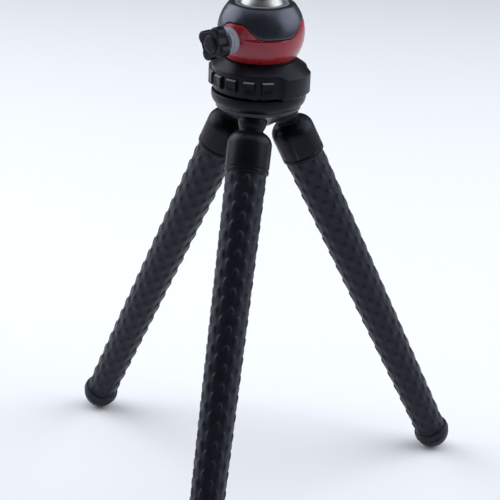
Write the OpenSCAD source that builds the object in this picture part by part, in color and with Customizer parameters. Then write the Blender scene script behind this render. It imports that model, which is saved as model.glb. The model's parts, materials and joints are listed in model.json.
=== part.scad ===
// Small camera tripod with three flexible legs, a lock ring and a ball head.
// Millimetres, +Z up. The origin is on the floor, in the middle of the box around the object.
// Angles around the upright axis start at the front leg (-Y) and run towards +X.
// Heights inside the head and hub are measured from the head's centre, and distances along a
// leg from its pivot in the hub.

/* [Head] */
// Radius of the round head
head_r = 20; // [18.5:0.5:23]
// Wall of the head's two shells
shell_t = 2.5; // [1.8:0.1:3]
// Width of the dome's band around the socket, up to the round side
top_band = 2.4; // [1.6:0.1:3]
// How far the red band reaches below the head's centre
band_drop = 11.5; // [10.5:0.25:12.5]
// Radius of the three dips of the dome into the red band
wave_r = 20; // [18:0.5:24]
// Lowest point of the dips above the head's centre
wave_z = 0.25; // [-2:0.25:2]
// Height above the head's centre at which the seam runs level between the dips
wave_top = 6.5; // [6:0.25:8]
// Turn of the first dip from the lock knob
wave_turn = 68; // [55:1:75]
// Width of the seam between the dome and the red band
seam_w = 0.2; // [0.1:0.05:0.4]
// Turn of the head and its lock knob from the front leg
head_yaw = -35; // [-180:1:180]
// Radius of the plate that closes the head from below
base_r = 14.8; // [13.5:0.2:15.2]
// Thickness of that plate
base_t = 3.8; // [3:0.2:5]

/* [Ball and camera plate] */
// Radius of the chrome ball
ball_r = 10.5; // [9.5:0.25:11]
// Height of the socket's lip above the ball's centre
lip_h = 4; // [3.5:0.25:4.5]
// Wall of the socket around the ball
core_t = 1.8; // [1.4:0.1:2.2]
// Radius of the ball's stem
stem_r = 4.2; // [3.5:0.1:4.4]
// Height of the camera plate's underside above the ball's centre
stem_h = 19; // [18:0.5:24]
// Radius of the flange under the camera plate
flange_r = 8; // [6:0.5:9]
// Thickness of that flange
flange_t = 2; // [1.5:0.25:3]
// Radius of the camera plate
plate_r = 17; // [14:0.5:18]
// Thickness of the camera plate
plate_t = 5; // [4:0.5:7]
// Bevel under the camera plate's rim
plate_bevel = 1.5; // [0.5:0.25:2.5]
// Thickness of the rubber pad on the camera plate
pad_t = 1.5; // [1:0.25:2.5]
// Width of the plate's rim left bare around the pad
pad_margin = 1.2; // [0.6:0.2:2.5]
// Radius of the camera screw
screw_r = 3.175; // [3.175, 4.7625]
// Height of the camera screw above the pad
screw_h = 5; // [4:0.25:6]
// Width of the collar that holds the camera screw in the plate
collar_w = 1; // [0.6:0.1:1.5]

/* [Lock knob] */
// Radius of the knob over its lobes
knob_r = 8.5; // [7.5:0.1:9.5]
// Number of lobes on the knob
knob_lobes = 4; // [3:1:6]
// Radius of each lobe
lobe_r = 2.8; // [2:0.1:3]
// Turn of the knob's first lobe, counted against the clock from its right
knob_phase = 68; // [0:1:120]
// Thickness of the knob with its neck
knob_w = 8; // [7:0.1:10]
// Length of the neck behind the lobes
knob_neck = 2.2; // [1.5:0.1:2.8]
// Radius of that neck
knob_neck_r = 4.5; // [4:0.1:4.8]
// Radius of the cap in the knob's face
cap_r = 4.2; // [3.5:0.1:4.6]
// Thickness of that cap
cap_t = 1.2; // [0.8:0.1:1.6]
// Radius of the lock screw
lock_r = 2.5; // [2:0.1:2.8]
// Depth of the knob's axis below the ball's centre
knob_below = 10.9; // [9:0.1:12]
// Radius of the bush around the lock screw
bush_r = 6; // [5.2:0.1:6.4]
// How far the bush stands out of the round head
bush_out = 3.5; // [3:0.1:5]

/* [Lock ring] */
// Radius of the ring over its lobes
ring_r = 24; // [23:0.2:25]
// Number of lobes around the ring
ring_lobes = 2; // [2:1:3]
// Turn of the first lobe from the front leg
lobe_turn = 66; // [0:1:180]
// Angle that each lobe covers
lobe_angle = 55; // [45:1:60]
// Depth of the recesses between the lobes, at their upper edge
recess_d = 1.9; // [1:0.1:2.2]
// How much deeper a recess gets down to the ring's foot
recess_slant = 0.9; // [0:0.1:1.2]
// Height of the ring's straight wall
ring_h = 10; // [9:0.25:11]
// Rise of the ring's sloped top
ring_rise = 5; // [4.5:0.25:6]
// How far the ring's top rim reaches in under the red band
rim_in = 0.75; // [0.4:0.05:1]
// Gap between that rim and the foot of the red band
rim_gap = 0.8; // [0.4:0.1:1.2]
// Width of that rim
rim_w = 0.8; // [0.6:0.1:1.2]
// Number of grip pads in a recess
grips = 5; // [2:1:5]
// How far the grip pads stay inside the lobes' radius
grip_in = 1; // [0.3:0.1:1.2]
// Angle that each grip pad covers
grip_angle = 16; // [12:1:19]
// Angle from one grip pad to the next
grip_pitch = 22.4; // [20:0.2:23]
// Height of a grip pad
grip_h = 5.9; // [5:0.1:6.5]
// Height of the wall left bare below a grip pad
grip_foot = 3.1; // [2.5:0.1:3.5]

/* [Hub] */
// Radius of the hub's neck inside the ring
neck_r = 15.3; // [14.8:0.1:15.6]
// Thickness of the friction washer under the head
washer_t = 1.5; // [1:0.1:2]
// Radius of the pan bolt
bolt_r = 4; // [3:0.25:4.5]
// Thickness of the hub's deck that the pan bolt holds
deck_t = 11; // [9:0.5:12]
// Largest radius of the hub's bowl
bowl_r = 21.9; // [21:0.1:22.6]
// Height of the bowl's straight side
bowl_side = 1.8; // [1.5:0.1:3]
// Radius of the bowl's rounded lower edge
bowl_round = 5.6; // [5:0.1:6.5]
// How far the rounded edge goes down before the bottom dish starts
round_drop = 4.5; // [3.5:0.1:4.8]
// Slope of the bottom dish, which is also the tilt of the leg sockets
socket_tilt = 33.3; // [31:0.1:36]
// Radius of the dish's flat bottom
dish_flat_r = 7; // [5:0.5:8]
// Radius of the three hub screws
hub_screw_r = 1.5; // [1.2:0.1:1.8]

/* [Legs] */
// Distance of a leg's pivot from the upright axis
pivot_r = 13; // [12.8:0.1:14]
// Depth of the pivots below the top of the dish
pivot_drop = 5.6; // [5.2:0.1:6.2]
// Spread of each leg from upright
leg_spread = 26.6; // [22:0.2:32]
// Length of a leg from its pivot to the centre of its foot
leg_len = 199; // [170:1:240]
// Radius of the ball at the root of a leg
root_r = 6.6; // [6.4:0.1:6.8]
// Radius of the neck below that ball
waist_r = 5.5; // [4.6:0.1:5.6]
// Length of the root from the pivot into the cuff
root_len = 15; // [12:0.5:17]
// Radius of the smooth cuff
cuff_r = 10.2; // [10:0.1:10.6]
// Distance from the pivot to the cuff's shoulder
shoulder_at = 5; // [5:0.1:7]
// Rounding of the cuff's shoulder
shoulder_round = 4.5; // [3.5:0.25:4.5]
// Distance from the pivot to the cuff's lower edge, where the first bend is
cuff_end = 24; // [22:0.5:30]
// Radius of the rubber leg below the cuff
leg_r = 9.6; // [9:0.1:9.8]
// Radius of the rubber leg at the foot
leg_tip_r = 7.8; // [7.2:0.1:8.2]
// Number of links that stand for the flexible leg
links = 4; // [3:1:5]
// Bend of each leg joint to either side
leg_bend = 28; // [15:1:30]
// Radius of the bendable core inside a leg
wire_r = 2.5; // [1.5:0.1:3]
// Height of the bumps on the rubber leg
bump_h = 0.5; // [0.3:0.05:0.7]
// Rows of bumps along each link
bump_rows = 5; // [4:1:7]
// Columns of bumps around the leg
bump_columns = 14; // [14:2:18]
// Turn of the bumps from the upper side of the front, right and left leg
bump_turn = [32.4, 28.6, 46.1];

/* [Feet] */
// Radius of the round rubber foot
foot_r = 8.9; // [8.4:0.1:10]
// Height of the foot's upper edge above its centre, along the leg
foot_top = 2.5; // [2:0.25:3.5]
// Radius of the leg's spigot inside the foot
spigot_r = 5; // [4:0.25:5.5]
// Length of that spigot
spigot_len = 5; // [3:0.5:6]

/* [Clearances] */
// Radial clearance of parts that turn or slide in each other
fit = 0.05; // [0.03:0.01:0.1]
// Gap between faces that pass each other
gap = 0.3; // [0.25:0.05:0.4]

/* [Hidden] */
$fn = 96;
SIDES = ["front", "right", "left"];
LEG_PARTS = concat(
    ["root", "cuff", "foot"],
    [for (k = [1:links]) str("sleeve_", k)],
    [for (k = [1:links]) str("core_", k)]
);
HEAD_PARTS = [
    "camera_screw", "plate_pad", "camera_plate", "stem", "ball", "head_dome", "head_band", "head_core",
    "head_base", "ball_seat", "lock_bush", "lock_screw", "lock_knob", "knob_cap", "pan_bolt", "pan_nut",
    "pan_washer", "lock_ring", "hub_body", "hub_dish", "hub_screws"
];

black = "#1d1e21";
rubber = "#17181a";
red = "#c3271a";
chrome = "#c9ccd0";
steel = "#8d9196";
grey = "#5d6066";
white = "#d8d8d2";

third = 120;
// Longer than any piece that is cut to shape
reach = 100;
// How far a cut runs past the face it opens
over = 1;
arc_steps = 8;

// Head: the socket, its opening and the seat below the ball
core_r = ball_r + fit + core_t;
top_r = core_r + top_band;
rim_z = sqrt(head_r * head_r - top_r * top_r);
ball_z = rim_z - lip_h;
knob_z = ball_z - knob_below;
seat_gap = 0.2;
seat_r = ball_r + seat_gap;
seat_top = ball_z - lip_h;
seat_wall = 3;
seat_foot = knob_z - lock_r - seat_wall;
spigot_gap = 1;
base_spigot_top = seat_foot - spigot_gap;
inner_r = head_r - shell_t;
dip_from = inner_r / 2;

// Lock knob, along the knob's axis from the middle of the head
bush_end = head_r + bush_out;
knob_at = bush_end + 2 * gap;
knob_back = knob_at + knob_neck;
knob_end = knob_at + knob_w;
screw_end = knob_end - cap_t - gap;
cone_len = 2;
tip_at = sqrt(pow(ball_r + gap, 2) - pow(knob_below - lock_r, 2));
tip_r = 0.9;
seat_clear = 0.5;

// Camera plate stack, from the middle of the head
plate_z = ball_z + stem_h;
pad_z = plate_z + plate_t;
pad_top = pad_z + pad_t;
collar_r = screw_r + collar_w;

// Hub stack, from the middle of the head downwards
band_foot_r = sqrt(head_r * head_r - band_drop * band_drop);
rim_r = band_foot_r - rim_in;
base_foot = -band_drop - base_t;
deck_z = base_foot - washer_t;
ring_rest = gap;
ring_top = -band_drop - rim_gap;
ring_foot = ring_top - ring_rise - ring_h;
recess_r = ring_r - recess_d;
shoulder_z = ring_foot - ring_rest;
side_z = shoulder_z - bowl_side;
dish_z = side_z - round_drop;
dish_r = bowl_r - bowl_round + sqrt(bowl_round * bowl_round - round_drop * round_drop);
pivot_dz = dish_z - pivot_drop;
dish_foot = pivot_dz - (pivot_r - dish_flat_r) * tan(socket_tilt);
dish_edge = pivot_dz + (dish_r - pivot_r) * tan(socket_tilt);
socket_r = root_r + gap;
washer_inset = 2;
washer_r = base_r - washer_inset;
bore_r = bolt_r + fit;

// Pan nut in its pocket under the deck
nut_seat = deck_z - deck_t;
nut_flange_w = 2.6;
nut_flange_r = bolt_r + nut_flange_w;
nut_flange_t = 1;
nut_wall = 1.8;
nut_r = bolt_r + nut_wall;
nut_t = 3.2;
pocket_gap = 1;
pocket_r = nut_flange_r + pocket_gap;
bolt_foot = nut_seat - gap - nut_flange_t - nut_t;
bolt_cover = 1;
bolt_top = base_spigot_top - bolt_cover;

// Hub screws, half-way between the legs
hub_screw_shift = 0.5;
hub_screw_at = pivot_r + hub_screw_shift;
hub_head_w = 1.3;
hub_head_r = hub_screw_r + hub_head_w;
hub_head_t = 1.4;
hub_head_floor = 2;
hub_head_z = dish_z - hub_head_floor;
hub_screw_len = 7;

// Legs: heights above the floor and distances along the leg
pivot_z = foot_r + leg_len * cos(leg_spread);
head_z = pivot_z - pivot_dz;
foot_reach = pivot_r + leg_len * sin(leg_spread);
axis_y = foot_reach / 4;
leg_end = leg_len - foot_top;
link_len = (leg_end - cuff_end) / links;
bend_spare = 2;
core_cover = 0.6;

function joint_at(k) = cuff_end + k * link_len;
function leg_radius(t) = leg_r + (leg_tip_r - leg_r) * (t - cuff_end) / (leg_end - cuff_end);
function lip(k) = leg_radius(joint_at(k)) * sin(leg_bend + bend_spare);
function core_from(k) = joint_at(k) + leg_radius(joint_at(k)) + core_cover;
function core_to(k) = k < links - 1 ? joint_at(k + 1) + wire_r : leg_end + spigot_len / 2;
function arc(cx, cy, r, from, to, steps) =
    [for (i = [0:steps]) let (a = from + (to - from) * i / steps) [cx + r * cos(a), cy + r * sin(a)]];

// Frames
module hub_frame() translate([0, axis_y, head_z]) children();
module head_frame() hub_frame() rotate([0, 0, head_yaw]) children();
module along_knob(from = 0)
    translate([0, -from, knob_z]) rotate([90, 0, 0]) children();
module each_third(offset = 0) for (i = [0:2]) rotate([0, 0, i * third + offset]) children();
module each_lobe(offset = 0)
    for (i = [0:ring_lobes - 1]) rotate([0, 0, lobe_turn + i * 360 / ring_lobes + offset]) children();
module leg_frame(leg)
    translate([0, axis_y, pivot_z])
        rotate([0, 0, leg * third])
            translate([0, -pivot_r, 0])
                rotate([180 - leg_spread, 0, 0])
                    children();

// Shapes that several pieces share
module post(r, from, to) translate([0, 0, from]) cylinder(r = r, h = to - from);
module ball_space(extra) translate([0, 0, ball_z]) sphere(ball_r + extra);
module wave(offset) {
    each_third(wave_turn)
        translate([0, -dip_from, wave_z + wave_r])
            rotate([90, 0, 0])
                cylinder(r = wave_r + offset, h = reach);
    post(reach, wave_top - offset, reach);
}

// A hollow round shell with a flat rim at each end, open for the socket core
module head_shell() {
    difference() {
        intersection() {
            sphere(head_r);
            post(reach, -band_drop, rim_z);
        }
        intersection() {
            sphere(inner_r);
            post(reach, shell_t - band_drop, rim_z - shell_t);
        }
        post(core_r + fit, -reach, reach);
        along_knob() cylinder(r = bush_r + fit, h = reach);
    }
}

// A flat sector of a disc, centred on the front
module sector(r, angle)
    intersection() {
        circle(r);
        polygon([
            [0, 0],
            [-reach * sin(angle / 2), -reach * cos(angle / 2)],
            [reach * sin(angle / 2), -reach * cos(angle / 2)]
        ]);
    }

// The three leg sockets in the hub's underside
module sockets()
    each_third() translate([0, -pivot_r, pivot_dz]) sphere(socket_r);

// Camera plate and ball
module camera_screw()
    color(steel) head_frame() {
        post(collar_r, plate_z, pad_top);
        post(screw_r, pad_top, pad_top + screw_h);
    }

module plate_pad()
    color(rubber) head_frame()
        difference() {
            post(plate_r - pad_margin, pad_z, pad_top);
            post(collar_r + fit, plate_z, pad_top + over);
        }

module camera_plate()
    color(black) head_frame()
        difference() {
            union() {
                translate([0, 0, plate_z])
                    cylinder(r1 = plate_r - plate_bevel, r2 = plate_r, h = plate_bevel);
                post(plate_r, plate_z + plate_bevel, pad_z);
            }
            post(collar_r + fit, plate_z - over, pad_z + over);
        }

module stem()
    color(chrome) head_frame()
        difference() {
            union() {
                post(stem_r, ball_z, plate_z - flange_t);
                post(flange_r, plate_z - flange_t, plate_z - fit);
            }
            ball_space(fit);
        }

module ball()
    color(chrome) head_frame()
        ball_space(0);

// Head
module head_dome()
    color(black) head_frame()
        intersection() {
            head_shell();
            wave(-seam_w / 2);
        }

module head_band()
    color(red) head_frame()
        difference() {
            head_shell();
            wave(seam_w / 2);
        }

module head_core()
    color(grey) head_frame()
        difference() {
            post(core_r, -band_drop, rim_z);
            ball_space(fit);
            post(seat_r + fit, -band_drop - over, ball_z);
            along_knob() cylinder(r = lock_r + fit, h = reach);
        }

module head_base()
    color(black) head_frame()
        difference() {
            union() {
                post(base_r, base_foot, -band_drop);
                post(seat_r, -band_drop, base_spigot_top);
            }
            post(bore_r, base_foot - over, bolt_top + fit);
        }

// The lock screw with its cone, grown on all sides but the far end
module lock_shape(grow, end)
    along_knob() rotate_extrude() polygon([
        [0, tip_at - grow],
        [tip_r + grow, tip_at - grow],
        [lock_r + grow, tip_at - grow + cone_len],
        [lock_r + grow, end],
        [0, end]
    ]);

module ball_seat()
    color(white) head_frame()
        difference() {
            post(seat_r, seat_foot, seat_top);
            ball_space(fit);
            lock_shape(seat_clear, reach);
        }

module lock_bush()
    color(grey) head_frame()
        difference() {
            along_knob() post(bush_r, 0, bush_end);
            post(core_r + fit, -reach, reach);
            along_knob() cylinder(r = lock_r + fit, h = reach);
        }

module lock_screw()
    color(steel) head_frame() lock_shape(0, screw_end);

module lock_knob()
    color(black) head_frame()
        difference() {
            along_knob() rotate([0, 0, knob_phase]) {
                post(knob_neck_r, knob_at, knob_back + over);
                post(knob_r - lobe_r, knob_back, knob_end);
                for (i = [0:knob_lobes - 1])
                    rotate([0, 0, i * 360 / knob_lobes])
                        translate([knob_r - lobe_r, 0, 0])
                            post(lobe_r, knob_back, knob_end);
            }
            along_knob() cylinder(r = lock_r + fit, h = reach);
            along_knob(knob_end - cap_t) cylinder(r = cap_r + fit, h = reach);
        }

module knob_cap()
    color(black) head_frame()
        along_knob() post(cap_r, knob_end - cap_t, knob_end);

// Pan joint
module pan_bolt()
    color(steel) hub_frame()
        post(bolt_r, bolt_foot, bolt_top);

module pan_nut()
    color(steel) hub_frame()
        difference() {
            union() {
                post(nut_flange_r, nut_seat - gap - nut_flange_t, nut_seat - gap);
                translate([0, 0, bolt_foot]) cylinder(r = nut_r, h = nut_t, $fn = 6);
            }
            post(bore_r, bolt_foot - over, nut_seat);
        }

module pan_washer()
    color(white) hub_frame()
        difference() {
            post(washer_r, deck_z, base_foot - fit);
            post(bolt_r + gap, deck_z - over, base_foot);
        }

module lock_ring()
    color(black) hub_frame()
        difference() {
            union() {
                intersection() {
                    rotate_extrude() polygon([
                        [0, ring_foot],
                        [ring_r, ring_foot],
                        [ring_r, ring_foot + ring_h],
                        [rim_r + rim_w, ring_top],
                        [0, ring_top]
                    ]);
                    union() {
                        translate([0, 0, ring_foot])
                            cylinder(r1 = recess_r - recess_slant, r2 = recess_r, h = ring_h + ring_rise);
                        translate([0, 0, ring_foot]) linear_extrude(reach)
                            each_lobe() sector(ring_r, lobe_angle);
                    }
                }
                translate([0, 0, ring_foot + grip_foot]) linear_extrude(grip_h)
                    each_lobe(180 / ring_lobes) for (i = [0:grips - 1])
                        rotate((i - (grips - 1) / 2) * grip_pitch) sector(ring_r - grip_in, grip_angle);
            }
            post(neck_r + fit, ring_foot - over, ring_top + over);
            post(rim_r, deck_z, ring_top + over);
        }

// Hub
module hub_body()
    color(black) hub_frame()
        difference() {
            rotate_extrude() polygon(concat(
                [[0, deck_z], [neck_r, deck_z], [neck_r, shoulder_z], [bowl_r, shoulder_z]],
                arc(bowl_r - bowl_round, side_z, bowl_round, 0, -asin(round_drop / bowl_round), arc_steps),
                [[0, dish_z]]
            ));
            post(bore_r, dish_z - over, deck_z + over);
            post(pocket_r, dish_z - over, nut_seat);
            sockets();
            each_third(third / 2) translate([0, -hub_screw_at, 0])
                post(hub_screw_r + fit, dish_z - over, hub_head_z + hub_screw_len + gap);
        }

module hub_dish()
    color(black) hub_frame()
        difference() {
            rotate_extrude() polygon([
                [0, dish_z],
                [dish_r, dish_z],
                [dish_r, dish_edge],
                [dish_flat_r, dish_foot],
                [0, dish_foot]
            ]);
            sockets();
            each_third(third / 2) translate([0, -hub_screw_at, 0]) {
                post(hub_screw_r + fit, dish_foot - over, dish_z + over);
                post(hub_head_r + fit, dish_foot - over, hub_head_z);
            }
        }

module hub_screws()
    color(steel) hub_frame()
        each_third(third / 2) translate([0, -hub_screw_at, 0]) {
            post(hub_head_r, hub_head_z - hub_head_t, hub_head_z);
            post(hub_screw_r, hub_head_z, hub_head_z + hub_screw_len);
        }

// Legs
module root(leg)
    color(black) leg_frame(leg) {
        sphere(root_r);
        post(waist_r, 0, root_len);
    }

function shoulder_arc() =
    arc(cuff_r - shoulder_round, shoulder_at + shoulder_round, shoulder_round, -90, 0, arc_steps);

module cuff(leg)
    color(black) leg_frame(leg)
        difference() {
            union() {
                rotate_extrude() polygon(concat(
                    [[0, cuff_end], [0, shoulder_at]],
                    shoulder_arc(),
                    [[cuff_r, cuff_end]]
                ));
                translate([0, 0, cuff_end]) sphere(leg_radius(cuff_end) - gap);
            }
            post(waist_r + fit, 0, root_len + fit);
        }

// The rubber of one link: rows of bumps, those of every second column set half a row further,
// between two plain ends. Each bump is a low pyramid whose foot runs from hollow to hollow.
module bumps(leg, k) {
    rows = 2 * bump_rows;
    cols = bump_columns;
    function high(m, j) = m == 0 || m == rows || (m + j) % 2 == 1;
    function corner(m, j) =
        let (
            t = joint_at(k) + m * link_len / rows,
            r = leg_radius(t) - (high(m, j) ? 0 : bump_h),
            a = bump_turn[leg] + j * 360 / cols
        )
        [-r * sin(a), r * cos(a), t];
    function at(m, j) = m * cols + j % cols;
    polyhedron(
        points = [for (m = [0:rows], j = [0:cols - 1]) corner(m, j)],
        faces = concat(
            [[for (j = [0:cols - 1]) at(0, j)], [for (j = [cols - 1:-1:0]) at(rows, j)]],
            [
                for (m = [0:rows - 1], j = [0:cols - 1], half = [0, 1])
                    (m + j) % 2 == 0
                        ? half == 0
                            ? [at(m, j), at(m + 1, j), at(m + 1, j + 1)]
                            : [at(m, j), at(m + 1, j + 1), at(m, j + 1)]
                        : half == 0
                            ? [at(m, j), at(m + 1, j), at(m, j + 1)]
                            : [at(m + 1, j), at(m + 1, j + 1), at(m, j + 1)]
            ]
        )
    );
}

module sleeve(leg, k) {
    from = joint_at(k);
    to = joint_at(k + 1);
    top = from + lip(k);
    color(rubber) leg_frame(leg)
        difference() {
            union() {
                intersection() {
                    bumps(leg, k);
                    post(reach, top, to);
                }
                if (k < links - 1)
                    translate([0, 0, to]) sphere(leg_radius(to) - gap);
                else
                    post(spigot_r, to - over, to + spigot_len);
            }
            translate([0, 0, from]) sphere(leg_radius(from));
            post(wire_r + fit, from, core_to(k) + fit);
        }
}

module core(leg, k)
    color(steel) leg_frame(leg)
        post(wire_r, core_from(k), core_to(k));

module foot(leg)
    color(rubber) leg_frame(leg)
        difference() {
            intersection() {
                translate([0, 0, leg_len]) sphere(foot_r);
                post(reach, leg_end, leg_len + reach);
            }
            post(spigot_r + fit, leg_end - over, leg_end + spigot_len + fit);
        }

camera_screw();
plate_pad();
camera_plate();
stem();
ball();
head_dome();
head_band();
head_core();
head_base();
ball_seat();
lock_bush();
lock_screw();
lock_knob();
knob_cap();
pan_bolt();
pan_nut();
pan_washer();
lock_ring();
hub_body();
hub_dish();
hub_screws();
for (leg = [0:2]) {
    root(leg);
    cuff(leg);
    foot(leg);
    for (k = [1:links]) {
        sleeve(leg, k - 1);
        core(leg, k - 1);
    }
}
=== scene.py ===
"""Looks of the small tripod with three flexible legs and a ball head.

Sizes of the pieces are in millimetres and angles in degrees. Each piece is made in a place of its
own: the hub and ring around the upright axis with angle 0 at the front leg, the head with angle 0
at the lock knob, the plate and stem up from the ball's centre, the knob along its own axis, and a
leg along its axis from the pivot down. A profile is a list of (r, z) points around such an axis.
"""

import json
import math

import bmesh
import bpy
from mathutils import Matrix, Vector


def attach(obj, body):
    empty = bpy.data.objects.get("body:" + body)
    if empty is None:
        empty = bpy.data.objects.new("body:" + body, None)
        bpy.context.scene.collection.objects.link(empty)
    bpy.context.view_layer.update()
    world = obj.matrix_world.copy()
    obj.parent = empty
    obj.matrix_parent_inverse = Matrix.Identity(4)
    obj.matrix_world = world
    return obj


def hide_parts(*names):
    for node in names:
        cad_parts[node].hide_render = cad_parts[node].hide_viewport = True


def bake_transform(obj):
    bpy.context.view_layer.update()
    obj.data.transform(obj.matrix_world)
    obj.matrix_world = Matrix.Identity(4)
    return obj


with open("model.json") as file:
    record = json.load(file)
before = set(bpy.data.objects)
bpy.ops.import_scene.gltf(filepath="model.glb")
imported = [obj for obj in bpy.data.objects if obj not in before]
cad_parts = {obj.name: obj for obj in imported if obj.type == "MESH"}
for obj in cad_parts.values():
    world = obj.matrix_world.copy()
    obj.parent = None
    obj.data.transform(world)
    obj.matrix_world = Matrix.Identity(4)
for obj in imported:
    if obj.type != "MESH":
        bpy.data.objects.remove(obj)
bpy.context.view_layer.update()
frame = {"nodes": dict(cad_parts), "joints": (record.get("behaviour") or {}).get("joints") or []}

MM = 0.001
UP = Vector((0, 0, 1))
SIDES = ("front", "right", "left")
LINKS = 4

# Camera
CAMERA_AT = (141.1, -759.1, 436.1)
CAMERA_YAW = 10.282
CAMERA_TILT = 68.30
CAMERA_ROLL = 2.17
CAMERA_LENS = 129.6
SENSOR_WIDTH = 36.0

# Head, with heights from its centre. WAVE_RAMP is in angles from the middle of a dip in the seam,
# SCOOP_FROM and SCOOP_TO are in angles from the knob, and RIDGE_NEAR and RIDGE_CLOSE are the
# heights above the ridge of the last rows of points over it
HEAD_R = 20.0
SHELL_T = 2.5
CORE_R = 12.35
CORE_GAP = 0.15
TOP_R = 14.75
RIM_Z = 13.507
BAND_FOOT = -11.5
WAVES = 3
WAVE_LOW = 0.4
WAVE_HIGH = 6.4
WAVE_TURN = 68.0
WAVE_RAMP = (19.0, 51.0)
SEAM_W = 0.36
DOME_EDGE = 0.45
BAND_EDGE = 0.4
RIDGE_Z = -0.7
RIDGE_NEAR = 0.9
RIDGE_CLOSE = (0.6, 0.4, 0.25, 0.1)
SCOOP_D = 1.25
SCOOP_FROM = (18.0, 21.0)
SCOOP_TO = (61.0, 94.0)
SCOOP_RISE = 0.6
BALL_R = 10.5
BALL_Z = 9.507

# Camera plate stack, with heights from the ball's centre
PLATE_Z = 19.0
PLATE_T = 5.0
PLATE_R = 17.0
KNURL_RIBS = 72
KNURL_D = 0.32
PAD_T = 1.5
PAD_R = 15.8
PAD_SINK = 0.4
PAD_GROOVES = (13.6, 11.6, 9.6, 7.6)
GROOVE_D = 0.5
GROOVE_HALF = 0.45
GROOVE_FLOOR_HALF = 0.25
COLLAR_R = 4.175
COLLAR_BEVEL = 0.3
THREAD_R = 3.175
THREAD_H = 5.0
THREAD_D = 0.36
THREAD_PITCH = 1.27
THREAD_RUN_IN = 0.7
THREAD_RUN_OUT = 0.8
THREAD_TIP = 0.9
STEM_R = 4.2
STEM_SINK = 1.0
STEM_TOP_GAP = 0.05
FLANGE_R = 8.0
FLANGE_T = 2.0

# Lock knob, along its axis from the middle of the head
SCREW_BORE_R = 2.6
BUSH_R = 6.0
BUSH_TIP_R = 5.75
BUSH_FROM = 15.0
BUSH_TO = 23.5
KNOB_FROM = 24.1
KNOB_BACK = 26.3
KNOB_TO = 32.1
KNOB_R = 8.5
KNOB_WAIST = 5.7
KNOB_NECK_R = 4.5
KNOB_LOBES = 4
KNOB_PHASE = -22.0
KNOB_GROOVE_D = 0.3
LOBE_R = 2.8
LOBE_SOFT = 0.9
LOBE_TRIM = 0.08
BOSS_R = 4.2
BOSS_H = 0.6
BOSS_SINK = 0.6

# Lock ring and hub, with heights from the head's centre
RING_R = 24.0
RECESS_R = 22.1
RECESS_SLANT = 0.9
RING_TOP = -12.3
RING_EDGE = -17.3
RING_FOOT = -27.3
RING_RIM_R = 15.61
RING_RIM_W = 0.8
RING_LOBES = 2
LOBE_TURN = 66.0
LOBE_HALF = 27.5
LOBE_RAMP = 5.0
NECK_R = 15.3
NECK_GAP = 0.1
DECK_Z = -16.8
SHOULDER_Z = -27.6
BOWL_R = 21.9
BOWL_SIDE_Z = -29.4
BOWL_SIDE_H = 1.4
BOWL_ROUND = 5.6
BOWL_STOP = 4.0
DISH_Z = -33.9
DISH_GAP = 0.15
HUB_BORE_R = 5.0

# Grip pads in the ring's recesses, with heights from the head's centre. GRIP_SIDE_FROM and
# GRIP_HOLLOW_RAMP are shares of a pad's half angle, GRIP_HOLLOW_LOW and GRIP_HOLLOW_HIGH are shares
# of its height, and HIGHLIGHT_STRIP_HALF, the half angle of the pale strip painted on a pad's upper
# edge as a highlight, is a share of its whole angle
GRIPS = 5
GRIP_R = 23.0
GRIP_ANGLE = 16.0
GRIP_PITCH = 22.4
GRIP_FOOT = -24.2
GRIP_TOP = -18.3
GRIP_BEVEL = 0.75
GRIP_SLOPE_H = 0.5
GRIP_SLOPE_W = 0.95
GRIP_SINK = 0.3
GRIP_SIDE_SINK = 0.1
GRIP_SIDE_FROM = 0.84
GRIP_HOLLOW_D = 0.22
GRIP_HOLLOW_RAMP = (0.3, 0.75)
GRIP_HOLLOW_LOW = 0.35
GRIP_HOLLOW_HIGH = 0.65
# Thickness of the pale strip painted on each pad's upper edge as a highlight
HIGHLIGHT_STRIP_T = 0.03
HIGHLIGHT_STRIP_HALF = 0.4

# Legs, along the axis from the pivot. SHOULDER_SWELL and SHOULDER_BEND are exponents in the curve of
# the cuff's shoulder, and FOOT_RIM and FOOT_DOME are angles from the equator of the foot's ball
ROOT_R = 6.6
WAIST_R = 5.5
WAIST_FLARE = 0.25
ROOT_END = 15.0
SHOULDER_AT = 5.0
SHOULDER_LEAD = 0.4
SHOULDER_LEN = 6.2
SHOULDER_SWELL = 1.15
SHOULDER_BEND = 1.6
CUFF_R = 10.2
CUFF_GAP = 0.06
CUFF_GROOVE_AT = 2.4
CUFF_GROOVE_D = 0.4
CUFF_END_GAP = 0.1
CUFF_POCKET = 2.0
CUFF_LAP = 0.6
LEG_R = 9.6
LEG_TIP_R = 7.8
FOOT_R = 8.9
FOOT_TOP = 2.5
FOOT_BORE_R = 4.9
FOOT_BORE_D = 5.0
FOOT_RIM = (-15.0, 4.0)
FOOT_DOME = (12.0, 82.0)
FOOT_DOME_STEP = 0.3
FOOT_GROOVE_D = 0.95
SLEEVE_TUCK = 1.5
SLEEVE_LAP = 0.05

# Bumps on the sleeves: rows on a link, columns round the leg, and the angle of each leg's first
# column
BUMP_H = 0.45
BUMP_ROWS = 5
BUMP_COLUMNS = 14
BUMP_TURN = {"front": 38.4, "right": 28.6, "left": 46.1}
BUMP_RUN_OUT = 1.2

# Form of one bump, in columns across and rows along from its middle
BUMP_HALF = 0.42
BUMP_SIDE_FROM = 0.5
BUMP_TIP = -0.42
BUMP_RISE = 0.07
BUMP_FALL_FROM = -0.2
BUMP_WIDE_AT = -0.02
BUMP_TAIL = 0.3

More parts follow.
